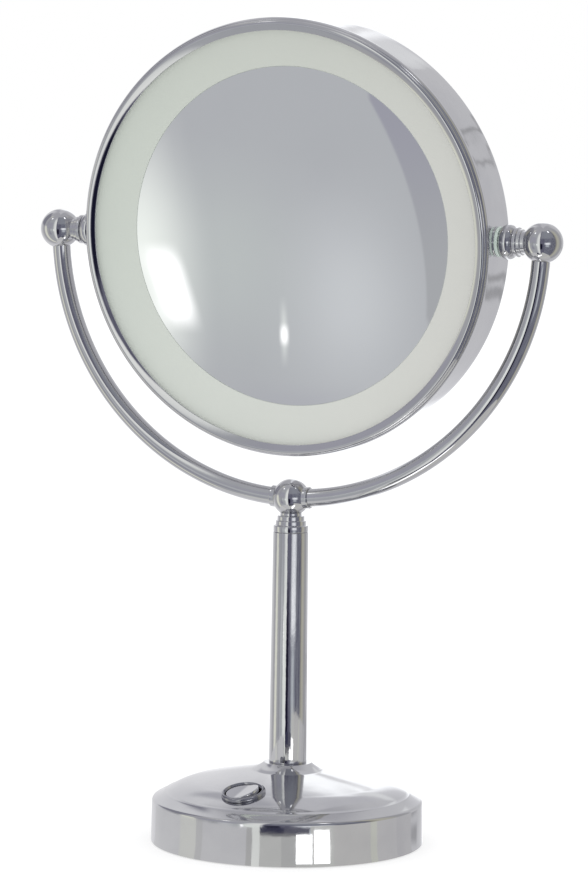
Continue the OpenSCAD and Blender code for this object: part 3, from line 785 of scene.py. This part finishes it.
def diffuser():
    outer, inner, thick = (DRUM_R - 2.6, 15.4), (DRUM_R - 23.45, 6.25), 2.2
    front = bow(outer, inner, 0.7, 24)
    back = bow((inner[0], inner[1] - thick), (outer[0], outer[1] - thick), -0.7, 24)
    mesh = in_head("light_ring", rounded(front + back, 0.15))
    piece("light_ring", mesh, "head", frosted, "light_diffuser")


def glass(name, front, back, node, edge_r):
    """Mirror glass between two faces; the ground edge has its own material."""
    mesh = in_head(name, front + back)
    o = piece(name, mesh, "head", [mirror, glass_edge], node)
    inverse = (Matrix.Scale(MM, 4) @ HEAD_FRAME).inverted()
    for face in mesh.polygons:
        local = inverse @ face.center
        if math.hypot(local.x, local.y) > edge_r:
            face.material_index = 1
    return o


def mirrors():
    chamfer, rings = 0.15, 28
    radii = [(MIRROR_R - chamfer) * i / rings for i in range(rings + 1)]
    front = [(r, dish(FOCUS_R, r)) for r in radii] + [(MIRROR_R, dish(FOCUS_R, MIRROR_R) - chamfer)]
    back = [(r, dish(FOCUS_R + GLASS_T, r)) for r in [MIRROR_R, *radii[::-1]]]
    glass("magnifying_glass", front, back, "magnifying_mirror", MIRROR_R - chamfer)
    rear_r, low = DRUM_R - 3.7, SHEET - DRUM_REAR
    front = [(0, low), (rear_r - chamfer, low), (rear_r, low + chamfer)]
    back = [(rear_r, low + GLASS_T), (0, low + GLASS_T)]
    glass("plain_glass", front, back, "rear_mirror", rear_r - chamfer)


# ---------------------------------------------------------------- CAD nodes that stay


def dress_cad_nodes():
    for o in frame["nodes"].values():
        for place in o.material_slots:
            name = place.material.name.split(".")[0] if place.material else "chrome"
            place.material = SLOT_MATERIALS[name]


# ---------------------------------------------------------------- stage: floor and reflector cards


def stage_plane(name, corners, mat):
    mesh = bpy.data.meshes.new(name)
    mesh.from_pydata(corners, [], [tuple(range(len(corners)))])
    mesh.materials.append(mat)
    o = bpy.data.objects.new(name, mesh)
    bpy.context.scene.collection.objects.link(o)
    return o


def floor():
    m, g, shader = material("floor", Roughness=0.9, Specular_IOR_Level=0.0)
    g.put(g.mix(g.noise(3), (0.48, 0.48, 0.48), (0.47, 0.47, 0.475)), shader.inputs["Base Color"])
    g.put((1.0, 1.0, 1.0), shader.inputs["Emission Color"])
    shader.inputs["Emission Strength"].default_value = 0.62
    half = 6.0
    o = stage_plane("floor", [(-half, -half, 0), (half, -half, 0), (half, half, 0), (-half, half, 0)], m)
    o.visible_glossy = False


def glow(name, colour):
    m = bpy.data.materials.new(name)
    m.use_nodes = True
    g = Graph(m.node_tree)
    lamp = g.add("ShaderNodeEmission")
    g.put(colour, lamp.inputs["Color"])
    g.tree.links.new(lamp.outputs[0], g.add("ShaderNodeOutputMaterial").inputs[0])
    return m


VIEW_AZIMUTH = 24.21


def floor_card(name, start, end, reach, lift, colour, gap=0):
    """Card lying round the base, seen only in the chrome, between two azimuths of its wall's reflections."""

    def edge(azimuth):
        face, way = math.radians((azimuth + VIEW_AZIMUTH) / 2), math.radians(azimuth)
        foot = Vector((math.sin(face), -math.cos(face), 0)) * (BASE_R - 1) * MM
        out = Vector((math.sin(way), -math.cos(way), 0)) * MM
        return foot + out * gap, foot + out * reach

    turns = [start + (end - start) * i / 12 for i in range(13)]
    near, far = zip(*(edge(a) for a in turns))
    lifted = [p + Vector((0, 0, lift * MM)) for p in [*near, *far[::-1]]]
    o = stage_plane(name, lifted, glow(name, colour))
    for kind in ("camera", "diffuse", "shadow", "transmission", "volume_scatter"):
        setattr(o, f"visible_{kind}", False)
    return o


WHITE_EDGE = (0.94, 0.96, 0.92)
FLASH = (2.4, 2.4, 2.4)

# What the base's side wall reflects: start and end azimuth, reach, lift, colour, and gap to the wall if any
FLOOR_CARDS = (
    (-125, -77, 150, 0.2, (0.72, 0.72, 0.73)),
    (-77, -58, 150, 0.2, (0.755, 0.76, 0.725)),
    (-58, -51, 150, 0.2, (0.62, 0.62, 0.62)),
    (-51, -9.5, 150, 0.2, (0.69, 0.69, 0.70)),
    (-9.5, -4.5, 150, 0.2, (0.56, 0.56, 0.55)),
    (-4.5, 2, 150, 0.2, WHITE_EDGE),
    (2, 20, 96, 0.2, (0.655, 0.66, 0.635)),
    (20, 32, 96, 0.2, (0.57, 0.575, 0.56)),
    (32, 44, 96, 0.2, (0.66, 0.665, 0.64)),
    (2, 43, 112, 0.15, (0.24, 0.24, 0.25)),
    (2, 22, 160, 0.1, (0.05, 0.05, 0.09)),
    (22, 43, 160, 0.1, (0.12, 0.12, 0.16)),
    (44, 64, 240, 0.2, (0.66, 0.665, 0.64)),
    (32, 45.5, 104, 0.3, FLASH, 7),
    (47, 60.5, 135, 0.3, FLASH, 7),
    (64, 99, 240, 0.2, (0.635, 0.63, 0.615)),
    (99, 106, 240, 0.2, (0.70, 0.71, 0.64)),
    (106, 130, 240, 0.2, (0.64, 0.635, 0.635)),
    (130, 154, 240, 0.2, (0.60, 0.595, 0.605)),
)


def cards():
    for i, card in enumerate(FLOOR_CARDS):
        floor_card(f"floor_card_{i + 1}", *card)


# ---------------------------------------------------------------- light

# Brightness of the tent by azimuth from straight ahead of the object; the camera stands at VIEW_AZIMUTH
SCREEN = (0.488, 0.50, 0.525)
TENT = (
    (-180, (0.67, 0.67, 0.69)),
    (-169, (0.78, 0.78, 0.81)),
    (-164.5, (1.38, 1.40, 1.42)),
    (-157, (1.38, 1.40, 1.42)),
    (-152, (0.86, 0.86, 0.88)),
    (-142, (0.81, 0.81, 0.83)),
    (-120, (0.80, 0.80, 0.82)),
    (-100, (0.62, 0.62, 0.64)),
    (-82, (0.45, 0.45, 0.47)),
    (-78, (0.60, 0.60, 0.60)),
    (-75, (0.95, 0.95, 0.84)),
    (-61, (0.92, 0.93, 0.80)),
    (-57, (0.50, 0.50, 0.51)),
    (-42, SCREEN),
    (-16, SCREEN),
    (-9, (0.93, 0.95, 0.92)),
    (1, (1.05, 1.06, 1.02)),
    (5, (0.60, 0.60, 0.62)),
    (99, (0.30, 0.29, 0.26)),
    (104, (0.42, 0.41, 0.35)),
    (110, (0.56, 0.55, 0.46)),
    (122, (0.54, 0.53, 0.47)),
    (132, (0.44, 0.44, 0.45)),
    (148, (0.46, 0.46, 0.48)),
    (155, (0.67, 0.67, 0.69)),
    (180, (0.67, 0.67, 0.69)),
)
DARK = (0.012, 0.012, 0.03)

# Soft-edged patches over the tent: azimuths, elevations, softness of each, colour, strength
TENT_PATCHES = (
    ((-32.5, -25.5), (-10.5, -3.5), (6, 7), (0.80, 0.825, 0.845), 0.85),
    ((-23.5, -14.0), (-13.0, -6.0), (5, 7), (0.60, 0.64, 0.625), 0.9),
    ((-14.6, 2.0), (-15.0, -2.0), (3.6, 4.5), (1.0, 1.04, 0.99), 1.0),
    ((-60.0, -20.0), (0.3, 30.0), (5, 2), (0.44, 0.44, 0.50), 0.9),
    ((-23.55, -23.15), (-6.2, -3.2), (0.25, 1.2), (0.85, 0.88, 0.86), 0.8),
    ((-23.6, -23.1), (-5.0, -4.0), (0.28, 0.45), (1.6, 1.6, 1.6), 1.0),
    ((-120.0, -78.0), (9.0, 50.0), (5, 4), (0.26, 0.26, 0.31), 0.9),
    ((-78.0, -50.0), (9.0, 50.0), (8, 5), (0.42, 0.42, 0.46), 0.9),
    ((-49.0, -42.0), (47.0, 53.0), (2, 2), (2.5, 2.5, 2.5), 1.0),
    ((-164.5, -156.0), (20.5, 24.0), (2, 1), (0.88, 0.88, 0.90), 1.0),
    ((-180.0, -164.0), (26.0, 31.5), (3, 2), (0.90, 0.91, 0.92), 1.0),
    ((-180.0, -140.0), (34.0, 110.0), (4, 3.5), (0.66, 0.66, 0.69), 0.97),
    ((-150.0, -136.0), (29.0, 60.0), (4, 4), (0.50, 0.50, 0.54), 0.9),
)
# A bright line in the tent that leans to the right with its height
LEANING_PATCH = (((-17.5, -15.2), (-9.9, -5.4), (0.8, 1.2), (1.7, 1.7, 1.7), 1.0),)
# Pleats on the wall behind: elevation, half width, height of the wave
PLEATS = ((20.0, 0.7, 1.1), (14.6, 0.8, 1.5), (-9.0, 0.6, 0.0), (-11.6, 0.9, 0.0))
# The same kind of patches over the dim room beyond the opening
ROOM_PATCHES = (
    ((8.0, 92.0), (26.0, 80.0), (4, 7), (0.32, 0.33, 0.37), 0.9),
    ((6.0, 19.0), (-33.0, -3.0), (2, 4), DARK, 1.0),
    ((33.0, 62.0), (-6.8, 4.0), (8, 0.8), (1.25, 1.27, 1.3), 1.0),
    ((38.0, 56.0), (-20.0, -7.6), (6, 0.8), (0.66, 0.70, 0.74), 0.95),
    ((70.0, 82.0), (58.0, 66.0), (3, 3), (2.8, 2.8, 2.8), 1.0),
)


def patches(g, under, azimuth, elevation, rows):
    for az, el, soft, colour, amount in rows:
        spot = g.math("MULTIPLY", g.window(azimuth, *az, soft[0]), g.window(elevation, *el, soft[1]))
        under = g.mix(g.math("MULTIPLY", spot, amount), under, colour)
    return under


def tent(g, azimuth, elevation):
    ramp = g.add("ShaderNodeValToRGB")
    g.put(g.step(azimuth, -180.0, 180.0, "LINEAR"), ramp.inputs[0])
    stops = ramp.color_ramp.elements
    while len(stops) < len(TENT):
        stops.new(0.5)
    for stop, (at, _) in zip(stops, TENT):
        stop.position = (at + 180) / 360
    for stop, (_, colour) in zip(stops, TENT):
        stop.color = (*colour, 1.0)
    colour = g.mix(g.step(elevation, 40.0, 70.0), ramp.outputs[0], (0.50, 0.50, 0.53))
    colour = patches(g, colour, azimuth, elevation, TENT_PATCHES)
    lean = g.math("ADD", azimuth, g.math("MULTIPLY", elevation, 0.3))
    colour = patches(g, colour, lean, elevation, LEANING_PATCH)
    return curtain(g, folds(g, colour, azimuth, elevation), azimuth, elevation)


def folds(g, colour, azimuth, elevation):
    """Dark pleats on the wall behind, the upper two of them wavy."""
    for at, half, wave in PLEATS:
        sway = g.math("MULTIPLY", g.math("SINE", g.math("MULTIPLY", azimuth, 1.3)), wave)
        line = g.window(g.math("ADD", elevation, sway), at - half, at + half, 0.5)
        line = g.math("MULTIPLY", line, g.window(azimuth, 155.0, 170.0, 3.0))
        colour = g.mix(g.math("MULTIPLY", line, 0.75), colour, (0.36, 0.36, 0.37))
    return colour


def curtain(g, colour, azimuth, elevation):
    """The shaded side beyond the curved edge that shows at the right of the magnifying mirror."""
    bow_out = g.math("POWER", g.math("ADD", elevation, 9.0), 2.0)
    edge = g.math("SUBTRACT", g.math("MULTIPLY", bow_out, 0.0207), 35.75)
    inside = g.step(g.math("SUBTRACT", azimuth, edge), 0.15, -0.15)
    inside = g.math("MULTIPLY", inside, g.window(azimuth, -46.0, -20.0, 5.0))
    inside = g.math("MULTIPLY", inside, g.window(elevation, -30.0, 6.0, 4.0))
    shade_colour = g.mix(g.step(elevation, -20.0, -8.0), (0.37, 0.37, 0.43), (0.43, 0.44, 0.46))
    return g.mix(inside, colour, shade_colour)


def room(g, azimuth, elevation):
    """What lies beyond the opening: dim, mottled, with a soft lamp and a faded stretch below it."""
    speckle = g.add("ShaderNodeTexNoise")
    g.put(g.add("ShaderNodeTexCoord").outputs["Generated"], speckle.inputs["Vector"])
    speckle.inputs["Scale"].default_value = 16
    speckle.inputs["Detail"].default_value = 4
    dim = g.mix(g.step(azimuth, 50.0, 75.0), (0.20, 0.20, 0.26), (0.28, 0.29, 0.33))
    mottled = g.mix(g.step(speckle.outputs["Fac"], 0.35, 0.65), dim, (0.12, 0.12, 0.17))
    lit = patches(g, mottled, azimuth, elevation, ROOM_PATCHES)
    place, blotch = g.add("ShaderNodeCombineXYZ"), g.add("ShaderNodeTexNoise")
    g.put(g.math("MULTIPLY", azimuth, 0.06), place.inputs[0])
    g.put(g.math("MULTIPLY", elevation, 5.0), place.inputs[1])
    g.put(place.outputs[0], blotch.inputs["Vector"])
    blotch.inputs["Scale"].default_value = 1
    blotch.inputs["Detail"].default_value = 3
    blotchy = g.step(blotch.outputs["Fac"], 0.42, 0.62)
    faded = g.math("MULTIPLY", blotchy, g.window(azimuth, 30.0, 66.0, 4.0))
    return g.mix(g.math("MULTIPLY", faded, 0.6), lit, (0.36, 0.39, 0.43))


def world():
    """A pale tent with a dim opening round the camera.

    Chrome sees all of this; matt surfaces see only even light, and the camera sees white behind the object.
    """
    w = bpy.data.worlds.new("studio")
    w.use_nodes = True
    bpy.context.scene.world = w
    g = Graph(w.node_tree)
    way = g.add("ShaderNodeSeparateXYZ")
    g.put(g.add("ShaderNodeTexCoord").outputs["Generated"], way.inputs[0])
    x, y, z = way.outputs
    azimuth = g.math("DEGREES", g.math("ARCTAN2", x, g.math("MULTIPLY", y, -1.0)))
    elevation = g.math("DEGREES", g.math("ARCSINE", z))
    opening = g.math("MULTIPLY", g.window(azimuth, 4.2, 98.0, 1.2), g.window(elevation, -60.0, 70.0, 2.0))
    seen_in_chrome = g.mix(opening, tent(g, azimuth, elevation), room(g, azimuth, elevation))

    path = g.add("ShaderNodeLightPath")
    even = g.mix(g.step(z, -0.2, 1.0), (0.96, 0.96, 0.97), (1.04, 1.04, 1.04))
    colour = g.mix(path.outputs["Is Glossy Ray"], even, seen_in_chrome)
    colour = g.mix(path.outputs["Is Camera Ray"], colour, (1.0, 1.0, 1.0))
    background = g.add("ShaderNodeBackground")
    g.put(colour, background.inputs[0])
    g.tree.links.new(background.outputs[0], g.add("ShaderNodeOutputWorld").inputs[0])


# ---------------------------------------------------------------- camera

VIEW_ELEVATION = 5.21
VIEW_ROLL = 0.77
VIEW_DISTANCE = 1.8786
AIM = Vector((0.0009, 0.0004, (cad_low.z + cad_high.z) / 2 - 0.003))
LENS = 155.65
SENSOR = 36.0


def camera():
    azimuth, elevation, roll = (math.radians(a) for a in (VIEW_AZIMUTH, VIEW_ELEVATION, VIEW_ROLL))
    flat = math.cos(elevation)
    back = Vector((math.sin(azimuth) * flat, -math.cos(azimuth) * flat, math.sin(elevation)))
    right = Vector((0, 0, 1)).cross(back).normalized()
    up = back.cross(right)
    level = Matrix((right, up, back)).transposed().to_4x4()
    data = bpy.data.cameras.new("camera")
    data.lens, data.sensor_width, data.sensor_fit = LENS, SENSOR, "AUTO"
    data.clip_start, data.clip_end = 0.05, 50.0
    o = bpy.data.objects.new("camera", data)
    bpy.context.scene.collection.objects.link(o)
    o.matrix_world = Matrix.Translation(AIM + back * VIEW_DISTANCE) @ level @ Matrix.Rotation(roll, 4, "Z")
    bpy.context.scene.camera = o


# ---------------------------------------------------------------- build

base_cover()
cover_bosses()
switch_ring()
rocker()
post()
yoke()
for side_name, side_sign in SIDES.items():
    pivot(side_name, side_sign)
drum()
bezel()
diffuser()
mirrors()
dress_cad_nodes()
floor()
cards()
world()
camera()
bpy.context.scene.view_settings.view_transform = "Standard"
